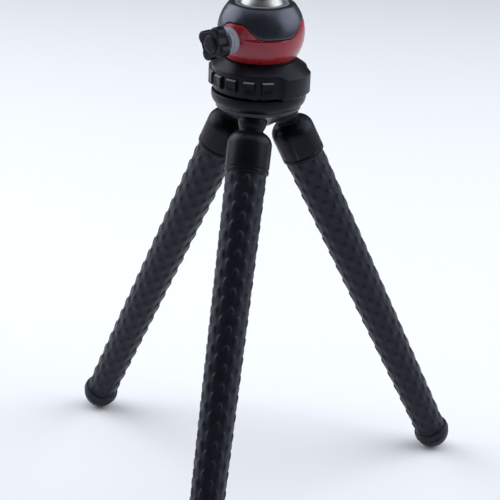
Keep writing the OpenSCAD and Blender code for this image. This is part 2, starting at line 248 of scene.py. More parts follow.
# Fineness of the meshes
FILLET_STEPS = 5
FILLET_REACH = 0.48
TURN_STEPS = 128
THREAD_STEPS = 60
DOME_STEPS = 24
SCOOP_STEPS = 16
BAND_STEPS = 24
GRIP_STEPS = 28
HIGHLIGHT_STRIP_STEPS = 12
BOWL_STEPS = 20
ROOT_STEPS = 28
SHOULDER_STEPS = 24
FOOT_RIM_STEPS = 8
FOOT_DOME_STEPS = 24
STEPS_PER_COLUMN = 8
STEPS_PER_ROW = 16
MERGE_M = 1e-6
DEGENERATE_M = 1e-7

# Angles above which an edge stays sharp
SHARP = 35.0
SLEEVE_SHARP = 60.0
NODE_SHARP = 30.0


def smoothstep(low, high, x):
    t = min(max((x - low) / (high - low), 0.0), 1.0)
    return t * t * (3.0 - 2.0 * t)


def mix(a, b, t):
    return a + (b - a) * t


def steps(low, high, count):
    """count + 1 even values from low to high."""
    return [mix(low, high, i / count) for i in range(count + 1)]


def off_middle(angle, middle, count):
    """Angle from the nearest of count even places around the axis, one of them at middle."""
    half = 180.0 / count
    return (angle - middle + half) % (2.0 * half) - half


def arc(r, z, radius, start, end, count):
    """Points of a round stretch of a profile, from angle start to end."""
    return [
        (r + radius * math.cos(math.radians(a)), z + radius * math.sin(math.radians(a)))
        for a in steps(start, end, count)
    ]


def rounded(corners):
    """A profile through (r, z, radius) corners, each rounded by its radius."""
    path = []
    for i, (r, z, radius) in enumerate(corners):
        if radius == 0:
            path.append((r, z))
            continue
        here = Vector((r, z))
        back = Vector(corners[i - 1][:2]) - here
        ahead = Vector(corners[(i + 1) % len(corners)][:2]) - here
        reach = radius / math.tan(back.angle(ahead) / 2)
        reach = min(reach, FILLET_REACH * back.length, FILLET_REACH * ahead.length)
        start = here + back.normalized() * reach
        end = here + ahead.normalized() * reach
        for t in steps(0.0, 1.0, FILLET_STEPS):
            path.append(tuple(start.lerp(here, t).lerp(here.lerp(end, t), t)))
    return path


def sphere_r(radius, z):
    """Distance from the axis of a point at height z on a sphere."""
    return math.sqrt(max(radius * radius - z * z, 0.0))


def place_at(origin, z_axis, x_hint):
    """A frame with its Z along z_axis and its X as near to x_hint as it can be."""
    z = z_axis.normalized()
    x = (x_hint - z * x_hint.dot(z)).normalized()
    turn = Matrix((x, z.cross(x), z)).transposed()
    return Matrix.Translation(origin) @ turn.to_4x4()


joints = {joint["name"]: joint for joint in frame["joints"]}


def joint_at(name):
    return Vector(joints[name]["pos_m"])


HEAD_AT = joint_at("head_pan")
KNOB_AXIS = Vector(joints["knob_turn"]["axis"])
HUB_PLACE = place_at(HEAD_AT, UP, Vector((0, -1, 0)))
HEAD_PLACE = place_at(HEAD_AT, UP, KNOB_AXIS)
BALL_PLACE = place_at(joint_at("stem_tilt"), UP, KNOB_AXIS)
KNOB_PLACE = place_at(joint_at("knob_turn"), KNOB_AXIS, UP)


def leg_place(side):
    pivot = joint_at(f"{side}_spread")
    along = joint_at(f"{side}_bend_1") - pivot
    return place_at(pivot, along, UP)


# Lengths along a leg, the same on all three
CUFF_END = (joint_at("front_bend_1") - joint_at("front_spread")).length / MM
LINK_LEN = (joint_at("front_bend_2") - joint_at("front_bend_1")).length / MM
LEG_END = CUFF_END + LINKS * LINK_LEN
FOOT_AT = LEG_END + FOOT_TOP
BUMP_PITCH = LINK_LEN / BUMP_ROWS


# Mesh making
def turned(profile_at, angles=None):
    """Vertices and faces of closed profiles set around the Z axis.

    profile_at gives the (r, z) points at an angle. Without angles the profiles go all the way
    round; over angles the two ends are closed by a flat face each."""
    closed = angles is None
    if closed:
        angles = steps(0.0, 360.0, TURN_STEPS)[:-1]
    vertices = []
    for angle in angles:
        a = math.radians(angle)
        vertices += [(r * math.cos(a), r * math.sin(a), z) for r, z in profile_at(angle)]
    turns = len(angles)
    count = len(vertices) // turns
    faces = []
    for i in range(turns if closed else turns - 1):
        j = (i + 1) % turns
        for k in range(count):
            m = (k + 1) % count
            faces.append((i * count + k, j * count + k, j * count + m, i * count + m))
    if not closed:
        faces.append(tuple(range(count)))
        faces.append(tuple(range((turns - 1) * count, turns * count))[::-1])
    return vertices, faces


def lathe(profile):
    """One profile turned all the way round."""
    return turned(lambda angle: profile)


def joined(parts):
    """Several (vertices, faces) as one."""
    vertices = []
    faces = []
    for some_vertices, some_faces in parts:
        base = len(vertices)
        vertices += some_vertices
        faces += [tuple(base + i for i in face) for face in some_faces]
    return vertices, faces


def solid(name, shape, place, material, sharp=SHARP):
    """A smooth-shaded object of (vertices, faces) in millimetres, with edges kept above sharp."""
    vertices, faces = shape
    mesh = bpy.data.meshes.new(name)
    mesh.from_pydata([place @ (Vector(v) * MM) for v in vertices], [], faces)
    work = bmesh.new()
    work.from_mesh(mesh)
    bmesh.ops.remove_doubles(work, verts=work.verts, dist=MERGE_M)
    bmesh.ops.dissolve_degenerate(work, edges=work.edges, dist=DEGENERATE_M)
    bmesh.ops.recalc_face_normals(work, faces=work.faces)
    work.to_mesh(mesh)
    work.free()
    mesh.shade_smooth()
    mesh.set_sharp_from_angle(angle=math.radians(sharp))
    mesh.materials.append(MATERIALS[material])
    piece = bpy.data.objects.new(name, mesh)
    bpy.context.scene.collection.objects.link(piece)
    return piece


def rigid(name, shape, place, material, body, *nodes):
    """A piece that rides on a body in the stead of CAD nodes."""
    piece = solid(name, shape, place, material)
    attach(piece, body)
    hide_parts(*nodes)
    return piece


# Materials: the tint of reflections, the limits of the paler edges (partly wear, partly a painted
# highlight), and noises by their scale in 1/m and their bump depth in m
SHEEN = (0.72, 0.75, 1.0)
COAT_ROUGH = 0.12
EDGE_WEAR_AND_HIGHLIGHT_FROM = 0.52
EDGE_WEAR_AND_HIGHLIGHT_TO = 0.62
TONE_SCALE = 60.0
TONE_DETAIL = 3.0
FINE_DETAIL = 2.0
ROUGH_SCALE = 220.0
ROUGH_BELOW = 0.04
ROUGH_ABOVE = 0.05
GRAIN_DEPTH = 0.0002
METAL_TONE_SCALE = 90.0
MARK_SCALE = 900.0
MARK_ROUGH_LOW = 0.85
MARK_ROUGH_HIGH = 1.2
MARK_DEPTH = 0.00005

# Sockets of the colours in a mix node
MIX_FIRST = 6
MIX_SECOND = 7
MIX_RESULT = 2


def shader(name):
    material = bpy.data.materials.new(name)
    material.use_nodes = True
    return material, material.node_tree


def noise(tree, scale, detail):
    """A noise in the object's own metres."""
    coordinates = tree.nodes.new("ShaderNodeTexCoord")
    texture = tree.nodes.new("ShaderNodeTexNoise")
    texture.inputs["Scale"].default_value = scale
    texture.inputs["Detail"].default_value = detail
    tree.links.new(coordinates.outputs["Object"], texture.inputs["Vector"])
    return texture.outputs["Fac"]


def spread(tree, value, low, high, start=0.3, end=0.7):
    """value from start to end as a number from low to high."""
    ranged = tree.nodes.new("ShaderNodeMapRange")
    ranged.inputs["From Min"].default_value = start
    ranged.inputs["From Max"].default_value = end
    ranged.inputs["To Min"].default_value = low
    ranged.inputs["To Max"].default_value = high
    tree.links.new(value, ranged.inputs["Value"])
    return ranged.outputs["Result"]


def blended(tree, factor, first, second):
    """A colour between two, by factor. Either may be a socket."""
    mixer = tree.nodes.new("ShaderNodeMix")
    mixer.data_type = "RGBA"
    tree.links.new(factor, mixer.inputs["Factor"])
    for index, colour in ((MIX_FIRST, first), (MIX_SECOND, second)):
        if isinstance(colour, bpy.types.NodeSocket):
            tree.links.new(colour, mixer.inputs[index])
        else:
            mixer.inputs[index].default_value = (*colour, 1.0)
    return mixer.outputs[MIX_RESULT]


def edge_wear_and_highlight_mask(tree):
    """How sharp the shape's outer edges are, from 0 to 1, for edge wear and painted highlight."""
    geometry = tree.nodes.new("ShaderNodeNewGeometry")
    return spread(tree, geometry.outputs["Pointiness"], 0.0, 1.0, EDGE_WEAR_AND_HIGHLIGHT_FROM, EDGE_WEAR_AND_HIGHLIGHT_TO)


def bumped(tree, bsdf, height, distance, strength):
    bump = tree.nodes.new("ShaderNodeBump")
    bump.inputs["Distance"].default_value = distance
    bump.inputs["Strength"].default_value = strength
    tree.links.new(height, bump.inputs["Height"])
    tree.links.new(bump.outputs["Normal"], bsdf.inputs["Normal"])


def moulded(name, dark, light, worn_and_highlight_tone, rough, grain_mm, strength, specular=0.5, coat=0.0):
    """Moulded plastic or rubber: two close tones, a fine grain, and paler edges of wear and painted
    highlight.
    """
    material, tree = shader(name)
    bsdf = tree.nodes["Principled BSDF"]
    bsdf.inputs["Specular IOR Level"].default_value = specular
    bsdf.inputs["Specular Tint"].default_value = (*SHEEN, 1.0)
    bsdf.inputs["Coat Weight"].default_value = coat
    bsdf.inputs["Coat Roughness"].default_value = COAT_ROUGH
    cloud = spread(tree, noise(tree, TONE_SCALE, TONE_DETAIL), 0.0, 1.0)
    tone = blended(tree, cloud, dark, light)
    # Paler sharp edges: partly wear, partly a painted highlight on the edges
    tone = blended(tree, edge_wear_and_highlight_mask(tree), tone, worn_and_highlight_tone)
    tree.links.new(tone, bsdf.inputs["Base Color"])
    rough_noise = noise(tree, ROUGH_SCALE, FINE_DETAIL)
    roughness = spread(tree, rough_noise, rough - ROUGH_BELOW, rough + ROUGH_ABOVE)
    tree.links.new(roughness, bsdf.inputs["Roughness"])
    grain = noise(tree, 1.0 / (grain_mm * MM), FINE_DETAIL)
    bumped(tree, bsdf, grain, GRAIN_DEPTH, strength)
    return material


def metal(name, dark, light, rough, fineness, strength):
    """Metal with small marks, the finer the higher fineness is."""
    material, tree = shader(name)
    bsdf = tree.nodes["Principled BSDF"]
    bsdf.inputs["Metallic"].default_value = 1.0
    cloud = spread(tree, noise(tree, METAL_TONE_SCALE, TONE_DETAIL), 0.0, 1.0)
    tree.links.new(blended(tree, cloud, dark, light), bsdf.inputs["Base Color"])
    marks = noise(tree, MARK_SCALE * fineness, FINE_DETAIL)
    roughness = spread(tree, marks, MARK_ROUGH_LOW * rough, MARK_ROUGH_HIGH * rough)
    tree.links.new(roughness, bsdf.inputs["Roughness"])
    bumped(tree, bsdf, marks, MARK_DEPTH, strength)
    return material


MOULDED = {
    # The pale edge tone of black plastic is partly wear and partly a painted highlight on pad, lobe
    # and knob edges
    "black_plastic": dict(
        dark=(0.0026, 0.003, 0.0046), light=(0.0038, 0.0043, 0.0064), worn_and_highlight_tone=(0.055, 0.06, 0.074),
        rough=0.36, grain_mm=0.35, strength=0.1, specular=0.22,
    ),
    # A pale black painted on the pads' upper edges as a highlight
    "painted_highlight_black": dict(
        dark=(0.085, 0.09, 0.102), light=(0.12, 0.126, 0.14), worn_and_highlight_tone=(0.17, 0.18, 0.2),
        rough=0.4, grain_mm=0.35, strength=0.1, specular=0.4,
    ),
    "glossy_black": dict(
        dark=(0.0115, 0.0138, 0.0185), light=(0.0145, 0.0172, 0.023), worn_and_highlight_tone=(0.022, 0.025, 0.033),
        rough=0.3, grain_mm=0.35, strength=0.08, specular=0.85,
    ),
    # The orange edge tone of the red band is a painted highlight along its sharp edges and the
    # crease beside the bush
    "red_plastic": dict(
        dark=(0.27, 0.011, 0.015), light=(0.33, 0.014, 0.019), worn_and_highlight_tone=(0.72, 0.1, 0.05),
        rough=0.28, grain_mm=0.5, strength=0.04, coat=0.25,
    ),
    "grey_plastic": dict(
        dark=(0.25, 0.265, 0.32), light=(0.3, 0.315, 0.37), worn_and_highlight_tone=(0.39, 0.41, 0.46),
        rough=0.42, grain_mm=0.4, strength=0.08,
    ),
    "rubber": dict(
        dark=(0.0046, 0.0053, 0.0084), light=(0.0066, 0.0075, 0.0115), worn_and_highlight_tone=(0.016, 0.0175, 0.024),
        rough=0.42, grain_mm=0.3, strength=0.14, specular=0.34,
    ),
    "nylon": dict(
        dark=(0.62, 0.62, 0.58), light=(0.7, 0.7, 0.66), worn_and_highlight_tone=(0.78, 0.78, 0.75),
        rough=0.45, grain_mm=0.5, strength=0.06,
    ),
}
METALS = {
    "chrome": dict(
        dark=(0.43, 0.44, 0.43), light=(0.47, 0.48, 0.47), rough=0.42, fineness=1.0, strength=0.003
    ),
    "steel": dict(
        dark=(0.42, 0.43, 0.45), light=(0.55, 0.56, 0.58), rough=0.28, fineness=1.6, strength=0.05
    ),
    "core_metal": dict(
        dark=(0.5, 0.5, 0.52), light=(0.62, 0.62, 0.64), rough=0.35, fineness=1.2, strength=0.06
    ),
}
MATERIALS = {name: moulded(name, **finish) for name, finish in MOULDED.items()}
MATERIALS.update({name: metal(name, **finish) for name, finish in METALS.items()})


# Camera plate and ball
def thread_profile(angle):
    """The camera screw with its collar, its thread wound by the angle."""
    top = PLATE_Z + PLATE_T + PAD_T
    root = THREAD_R - THREAD_D
    path = [(0.0, PLATE_Z), (COLLAR_R, PLATE_Z)]
    path += [(COLLAR_R, top - COLLAR_BEVEL), (COLLAR_R - COLLAR_BEVEL, top)]
    for z in steps(0.0, THREAD_H, THREAD_STEPS):
        turn = (z / THREAD_PITCH - angle / 360.0) % 1.0
        tooth = abs(2.0 * turn - 1.0)
        ends = smoothstep(0.0, THREAD_RUN_IN, z)
        ends *= 1.0 - smoothstep(THREAD_H - THREAD_RUN_OUT, THREAD_H, z)
        path.append((root + THREAD_D * tooth * ends, top + z))
    path += [(THREAD_R - THREAD_TIP, top + THREAD_H), (0.0, top + THREAD_H)]
    return path


def plate_profile(angle):
    """The camera plate, its rim knurled in fine upright ribs between plain edges."""
    rib = KNURL_D * abs(math.sin(math.radians(angle * KNURL_RIBS / 2)))
    top = PLATE_Z + PLATE_T
    bore = COLLAR_R + 0.1
    rim = PLATE_R - 0.1
    knurl = PLATE_R - 0.45 + rib
    recess = PAD_R + 0.25
    return rounded([
        (bore, PLATE_Z, 0.0),
        (PLATE_R - 1.6, PLATE_Z, 0.4),
        (rim, PLATE_Z + 1.3, 0.4),
        (rim, PLATE_Z + 1.6, 0.0),
        (knurl, PLATE_Z + 1.75, 0.0),
        (knurl, top - 0.95, 0.0),
        (rim, top - 0.8, 0.0),
        (rim, top, 0.35),
        (recess, top, 0.0),
        (recess, top - PAD_SINK, 0.0),
        (bore, top - PAD_SINK, 0.0),
    ])


def pad_profile():
    """The rubber pad with round grooves in its top."""
    foot = PLATE_Z + PLATE_T - PAD_SINK
    top = PLATE_Z + PLATE_T + PAD_T
    bore = COLLAR_R + 0.15
    path = [(bore, foot, 0.0), (PAD_R, foot, 0.0), (PAD_R, top, 0.35)]
    for groove in PAD_GROOVES:
        path += [
            (groove + GROOVE_HALF, top, 0.12),
            (groove + GROOVE_FLOOR_HALF, top - GROOVE_D, 0.1),
            (groove - GROOVE_FLOOR_HALF, top - GROOVE_D, 0.1),
            (groove - GROOVE_HALF, top, 0.12),
        ]
    path.append((bore, top, 0.2))
    return rounded(path)


def stem_profile():
    """The stem, from its foot in the ball to the flange under the plate."""
    low = sphere_r(BALL_R, STEM_R) - STEM_SINK
    flange = PLATE_Z - FLANGE_T
    top = PLATE_Z - STEM_TOP_GAP
    return rounded([
        (0.0, low, 0.0),
        (STEM_R + 0.9, low, 0.0),
        (STEM_R, low + 2.1, 1.6),
        (STEM_R, flange, 1.2),
        (FLANGE_R, flange, 0.5),
        (FLANGE_R, top, 0.3),
        (0.0, top, 0.0),
    ])


def make_platform():
    rigid(
        "threaded_camera_screw", turned(thread_profile), BALL_PLACE, "steel", "platform",
        "camera_screw",
    )
    rigid(
        "knurled_camera_plate", turned(plate_profile), BALL_PLACE, "black_plastic", "platform",
        "camera_plate",
    )
    rigid("grooved_pad", lathe(pad_profile()), BALL_PLACE, "rubber", "platform", "plate_pad")
    rigid("flanged_stem", lathe(stem_profile()), BALL_PLACE, "chrome", "stem", "stem")


# Head
def wave_height(angle):
    """Height of the seam between dome and red band, at an angle from the knob."""
    away = abs(off_middle(angle, WAVE_TURN, WAVES))
    return mix(WAVE_LOW, WAVE_HIGH, smoothstep(*WAVE_RAMP, away))


def dome_profile(angle):
    """The dome, from its wavy lower edge to the rim around the core."""
    low = wave_height(angle) + SEAM_W / 2
    bore = CORE_R + CORE_GAP
    path = [(sphere_r(HEAD_R - SHELL_T, low), low), (sphere_r(HEAD_R, low) - DOME_EDGE, low)]
    path.append((sphere_r(HEAD_R, low + 0.12) - 0.13, low + 0.12))
    path += [(sphere_r(HEAD_R, z), z) for z in steps(low + DOME_EDGE, RIM_Z - 0.6, DOME_STEPS)]
    path += [(TOP_R - 0.12, RIM_Z - 0.14), (TOP_R - 0.6, RIM_Z)]
    path += [(CORE_R + 0.45, RIM_Z), (bore, RIM_Z - 0.25), (bore, RIM_Z - SHELL_T)]
    return path


def scoop(angle, height, top):
    """How far the red band is hollowed above its ridge, beside the knob."""
    side = abs(off_middle(angle, 0.0, 1))
    reach = smoothstep(*SCOOP_FROM, side) * (1.0 - smoothstep(*SCOOP_TO, side))
    above = height - RIDGE_Z
    share = above / (top - RIDGE_Z)
    return SCOOP_D * reach * (1.0 - share) * smoothstep(0.0, SCOOP_RISE, above)


def band_profile(angle):
    """The red band, from its wavy upper edge over the ridge to its foot."""
    top = wave_height(angle) - SEAM_W / 2
    foot = sphere_r(HEAD_R, BAND_FOOT)
    bore = CORE_R + CORE_GAP
    path = [(sphere_r(HEAD_R - SHELL_T, top), top), (sphere_r(HEAD_R, top) - BAND_EDGE, top)]
    heights = steps(top - 0.3 * BAND_EDGE, RIDGE_Z + RIDGE_NEAR, SCOOP_STEPS)
    heights += [RIDGE_Z + above for above in RIDGE_CLOSE]
    path += [(sphere_r(HEAD_R, z) - scoop(angle, z, top), z) for z in heights]
    path += [(sphere_r(HEAD_R, z), z) for z in steps(RIDGE_Z, BAND_FOOT + 0.5, BAND_STEPS)]
    path += [(foot - 0.1, BAND_FOOT + 0.1), (foot - 0.5, BAND_FOOT)]
    path += [(bore, BAND_FOOT), (bore, BAND_FOOT + SHELL_T)]
    return path


def core_profile():
    """The light ring around the ball with its rounded lip."""
    lip = sphere_r(BALL_R + 0.05, RIM_Z - BALL_Z)
    top = RIM_Z - 0.05
    return rounded([
        (CORE_R, BAND_FOOT, 0.0),
        (CORE_R, top, 0.35),
        (lip + 0.1, top, 0.3),
        (BALL_R + 0.2, RIM_Z - 3.6, 0.0),
        (BALL_R + 0.25, BAND_FOOT, 0.0),
    ])


def bush_profile():
    """The bush that the lock screw goes through, a little narrower at its outer end."""
    return rounded([
        (SCREW_BORE_R, BUSH_FROM, 0.0),
        (BUSH_R, BUSH_FROM, 0.0),
        (BUSH_R, BUSH_TO - 1.6, 0.0),
        (BUSH_TIP_R, BUSH_TO - 1.4, 0.0),
        (BUSH_TIP_R, BUSH_TO, 0.35),
        (SCREW_BORE_R, BUSH_TO, 0.0),
    ])


def knob_radius(angle):
    """The knob's outline: round lobes on a round waist, with soft hollows between them."""
    off = math.radians(off_middle(angle, KNOB_PHASE, KNOB_LOBES))
    centre = KNOB_R - LOBE_R
    across = LOBE_R * LOBE_R - (centre * math.sin(off)) ** 2
    lobe = centre * math.cos(off) + math.sqrt(max(across, 0.0))
    gap = lobe - KNOB_WAIST
    soft = KNOB_WAIST + (gap + math.sqrt(gap * gap + LOBE_SOFT * LOBE_SOFT)) / 2 - LOBE_TRIM
    return min(soft, KNOB_R)


def knob_profile(angle):
    """The knob with its neck, and a fine groove around the cap in its face."""
    wide = knob_radius(angle)
    face = KNOB_TO - BOSS_H
    groove = face - KNOB_GROOVE_D
    return rounded([
        (SCREW_BORE_R, KNOB_FROM, 0.0),
        (KNOB_NECK_R, KNOB_FROM, 0.3),
        (KNOB_NECK_R, KNOB_BACK, 0.4),
        (wide, KNOB_BACK, 0.7),
        (wide, face, 1.2),
        (BOSS_R + 0.7, face, 0.2),
        (BOSS_R + 0.5, groove, 0.1),
        (BOSS_R + 0.1, groove, 0.1),
        (BOSS_R, face, 0.0),
        (SCREW_BORE_R, face, 0.0),
    ])


def boss_profile():
    """The rounded cap in the knob's face."""
    low = KNOB_TO - BOSS_H - BOSS_SINK
    return rounded([
        (0.0, low, 0.0),
        (BOSS_R, low, 0.0),
        (BOSS_R, KNOB_TO - 0.35, 0.6),
        (BOSS_R - 1.4, KNOB_TO - 0.02, 0.8),
        (0.0, KNOB_TO, 0.0),
    ])


def make_head():
    rigid("wave_dome", turned(dome_profile), HEAD_PLACE, "glossy_black", "head", "head_dome")
    rigid("ridged_red_band", turned(band_profile), HEAD_PLACE, "red_plastic", "head", "head_band")
    rigid("socket_ring", lathe(core_profile()), HEAD_PLACE, "grey_plastic", "head", "head_core")
    rigid("stepped_bush", lathe(bush_profile()), KNOB_PLACE, "grey_plastic", "head", "lock_bush")
    rigid("lobed_knob", turned(knob_profile), KNOB_PLACE, "black_plastic", "knob", "lock_knob")
    rigid("knob_boss", lathe(boss_profile()), KNOB_PLACE, "black_plastic", "knob", "knob_cap")


# Lock ring and hub
def ring_lobe(angle):
    """1 on a lobe of the ring, 0 in a recess, with a soft ramp between them."""
    away = abs(off_middle(angle, LOBE_TURN, RING_LOBES))
    return 1.0 - smoothstep(LOBE_HALF - LOBE_RAMP, LOBE_HALF + LOBE_RAMP, away)


def recess_r(z):
    """Radius of a recess, which slants inwards to the ring's foot."""
    return RECESS_R - RECESS_SLANT * (RING_TOP - z) / (RING_TOP - RING_FOOT)


def ring_profile(angle):
    """The lock ring, from its foot up the side and the slope to the rim, and down inside."""
    lobe = ring_lobe(angle)
    bore = NECK_R + NECK_GAP
    rim = RING_RIM_R + RING_RIM_W
    wall = mix(recess_r(RING_EDGE), RING_R, lobe)
    edge = mix(RING_EDGE, RING_TOP, (RING_R - wall) / (RING_R - rim))
    foot = mix(recess_r(RING_FOOT), RING_R, lobe)
    return rounded([
        (bore, RING_FOOT, 0.0),
        (foot - 1.3, RING_FOOT, 0.2),
        (foot, RING_FOOT + 1.0, 0.5),
        (wall, edge, 0.7),
        (rim, RING_TOP, 0.35),
        (RING_RIM_R, RING_TOP, 0.25),
        (RING_RIM_R, DECK_Z, 0.0),
        (bore, DECK_Z, 0.0),
    ])


def grip_pad(middle):
    """One grip pad in a recess of the ring, with a hollowed face between round edges."""
    low = recess_r(RING_FOOT) - GRIP_SINK
    half = GRIP_ANGLE / 2

    def profile_at(angle):
        share = abs(angle - middle) / half
        side = 1.0 - smoothstep(GRIP_SIDE_FROM, 1.0, share)
        out = mix(recess_r(GRIP_FOOT) - GRIP_SIDE_SINK, GRIP_R, side)
        face = out - GRIP_HOLLOW_D * (1.0 - smoothstep(*GRIP_HOLLOW_RAMP, share))
        return rounded([
            (low, GRIP_FOOT, 0.0),
            (out - GRIP_BEVEL, GRIP_FOOT, 0.15),
            (out, GRIP_FOOT + GRIP_BEVEL, 0.3),
            (face, mix(GRIP_FOOT, GRIP_TOP, GRIP_HOLLOW_LOW), 0.8),
            (face, mix(GRIP_FOOT, GRIP_TOP, GRIP_HOLLOW_HIGH), 0.8),
            (out, GRIP_TOP - GRIP_SLOPE_H, 0.2),
            (out - GRIP_SLOPE_W, GRIP_TOP, 0.1),
            (low, GRIP_TOP, 0.0),
        ])

    return turned(profile_at, steps(middle - half, middle + half, GRIP_STEPS))


def painted_highlight_strip(middle):
    """A painted highlight on a grip pad's upper edge: a thin pale strip on its slope."""
    half = HIGHLIGHT_STRIP_HALF * GRIP_ANGLE
    strip = [
        (GRIP_R + HIGHLIGHT_STRIP_T, GRIP_TOP - GRIP_SLOPE_H),
        (GRIP_R - GRIP_SLOPE_W, GRIP_TOP + HIGHLIGHT_STRIP_T),
        (GRIP_R - GRIP_SLOPE_W, GRIP_TOP - HIGHLIGHT_STRIP_T),
        (GRIP_R - HIGHLIGHT_STRIP_T, GRIP_TOP - GRIP_SLOPE_H - HIGHLIGHT_STRIP_T),
    ]
    return turned(lambda angle: strip, steps(middle - half, middle + half, HIGHLIGHT_STRIP_STEPS))


def hub_profile():
    """The hub's neck and bowl, down to where the dish closes it."""
    drop = BOWL_SIDE_Z - DISH_Z
    lowest = -math.degrees(math.asin(drop / BOWL_ROUND))
    low = DISH_Z + DISH_GAP
    path = rounded([
        (HUB_BORE_R, low, 0.0),
        (HUB_BORE_R, DECK_Z, 0.0),
        (NECK_R, DECK_Z, 0.4),
        (NECK_R, SHOULDER_Z, 0.0),
        (BOWL_R, SHOULDER_Z, 0.7),
        (BOWL_R, SHOULDER_Z - BOWL_SIDE_H, 0.0),
    ])
    inner = BOWL_R - BOWL_ROUND
    path += arc(inner, BOWL_SIDE_Z, BOWL_ROUND, 0.0, lowest + BOWL_STOP, BOWL_STEPS)
    path.append((inner, low))
    return path


def make_hub():
    rigid("lobed_ring", turned(ring_profile), HUB_PLACE, "black_plastic", "ring", "lock_ring")
    middles = []
    for lobe in range(RING_LOBES):
        recess = LOBE_TURN + (lobe + 0.5) * 360.0 / RING_LOBES
        middles += [recess + (i - (GRIPS - 1) / 2) * GRIP_PITCH for i in range(GRIPS)]
    pads = joined([grip_pad(middle) for middle in middles])
    # Pale strips painted as highlights on the pads' upper edges
    edges = joined([painted_highlight_strip(middle) for middle in middles])
    rigid("ring_grip_pads", pads, HUB_PLACE, "black_plastic", "ring", "lock_ring")
    rigid("ring_grip_painted_highlights", edges, HUB_PLACE, "painted_highlight_black", "ring", "lock_ring")
    rigid("hub_bowl", lathe(hub_profile()), HUB_PLACE, "black_plastic", "hub", "hub_body")


# Legs
def leg_radius(t):
    """Radius over the tops of the bumps, at a distance along the leg."""
    return mix(LEG_R, LEG_TIP_R, (t - CUFF_END) / (LEG_END - CUFF_END))


def root_profile():
    """The leg's root: its ball and the neck that goes into the cuff."""
    neck = math.degrees(math.acos((WAIST_R + WAIST_FLARE) / ROOT_R))
    ball = [(r, t, 0.0) for r, t in arc(0.0, 0.0, ROOT_R, -90.0, neck, ROOT_STEPS)]
    return rounded(ball + [
        (WAIST_R, ROOT_R * math.sin(math.radians(neck)) + 0.9, 0.8),
        (WAIST_R, ROOT_END, 0.0),
        (0.0, ROOT_END, 0.0),
    ])


def cuff_profile():
    """The cuff: a bottle shoulder, a straight side and a groove that leaves a bead below it."""
    bore = WAIST_R + CUFF_GAP
    pocket = LEG_R - CUFF_LAP
    groove = CUFF_END - CUFF_GROOVE_AT
    groove_r = CUFF_R - CUFF_GROOVE_D
    end = CUFF_END - CUFF_END_GAP
    shoulder = []
    for share in steps(0.0, 1.0, SHOULDER_STEPS):
        out = math.sin(math.radians(90.0 * share)) ** SHOULDER_SWELL
        t = SHOULDER_AT - SHOULDER_LEAD + SHOULDER_LEN * share ** SHOULDER_BEND
        shoulder.append((mix(bore, CUFF_R, out), t))
    side = rounded([
        (CUFF_R, SHOULDER_AT + 6.0, 0.0),
        (CUFF_R, groove - 0.45, 0.12),
        (groove_r, groove - 0.1, 0.1),
        (groove_r, groove + 0.1, 0.1),
        (CUFF_R, groove + 0.45, 0.12),
        (CUFF_R, end, 0.5),
        (pocket, end, 0.0),
        (pocket, CUFF_END - CUFF_POCKET, 0.0),
        (bore, CUFF_END - CUFF_POCKET, 0.0),
    ])
    return shoulder + side


def foot_profile():
    """The foot: a flared rim, a groove around its middle and a slightly smaller dome."""
    groove_r = FOOT_R - FOOT_GROOVE_D
    tip = FOOT_AT + FOOT_R
    bore_end = LEG_END + FOOT_BORE_D
    top = [(FOOT_BORE_R, LEG_END), (LEG_TIP_R - 0.3, LEG_END), (LEG_TIP_R + 0.35, LEG_END + 0.1)]
    rim = arc(0.0, FOOT_AT, FOOT_R, *FOOT_RIM, FOOT_RIM_STEPS)
    groove = rounded([
        (FOOT_R - 0.15, FOOT_AT + 0.9, 0.15),
        (groove_r, FOOT_AT + 1.1, 0.15),
        (groove_r, FOOT_AT + 1.5, 0.15),
    ])
    dome = arc(0.0, FOOT_AT, FOOT_R - FOOT_DOME_STEP, *FOOT_DOME, FOOT_DOME_STEPS)
    bore = [(0.0, bore_end), (FOOT_BORE_R, bore_end)]
    return top + rim + groove + dome + [(0.6, tip - 0.01), (0.0, tip)] + bore


def bump(across, along):
    """Height of a bump, from 0 to 1: a pointed arch that is steep at its top and runs out below.

    across is in columns from its middle and along in rows from its middle, downwards."""
    if along <= BUMP_TIP or along >= BUMP_TAIL:
        return 0.0
    arch = math.sqrt(1.0 - (1.0 - smoothstep(BUMP_TIP, BUMP_WIDE_AT, along)) ** 2)
    half = BUMP_HALF * arch
    side = 1.0 - smoothstep(BUMP_SIDE_FROM, 1.0, abs(across) / half)
    rise = smoothstep(BUMP_TIP, BUMP_TIP + BUMP_RISE, along)
    slope = rise * (1.0 - smoothstep(BUMP_FALL_FROM, BUMP_TAIL, along))
    return side * slope


def skin_depth(column, t):
    """How far the sleeve lies below the tops of its bumps, at a place counted in columns.

    Every other column is shifted by half a row."""
    row = (t - CUFF_END) / BUMP_PITCH
    best = 0.0
    for near in (math.floor(column), math.floor(column) + 1):
        shift = 0.5 if near % 2 == 0 else 0.0
        along = (row - shift + 0.5) % 1.0 - 0.5
        best = max(best, bump(column - near, along))
    ends = smoothstep(0.0, BUMP_RUN_OUT, LEG_END - t)
    return BUMP_H * (1.0 - best) * ends


def sleeve_shape(side, first, last):
    """The sleeve from one distance along the leg to another."""
    count = BUMP_COLUMNS * STEPS_PER_COLUMN
    rows = round((last - first) / BUMP_PITCH * STEPS_PER_ROW)
    vertices = []
    for t in steps(first, last, rows):
        for i in range(count):
            column = i / STEPS_PER_COLUMN
            r = leg_radius(t) - skin_depth(column, t)
            a = math.radians(BUMP_TURN[side] + column * 360.0 / BUMP_COLUMNS)
            vertices.append((r * math.cos(a), r * math.sin(a), t))
    faces = []
    for i in range(rows):
        for k in range(count):
            m = (k + 1) % count
            faces.append((i * count + k, i * count + m, (i + 1) * count + m, (i + 1) * count + k))
    faces.append(tuple(range(count))[::-1])
    faces.append(tuple(range(rows * count, (rows + 1) * count)))
    return vertices, faces


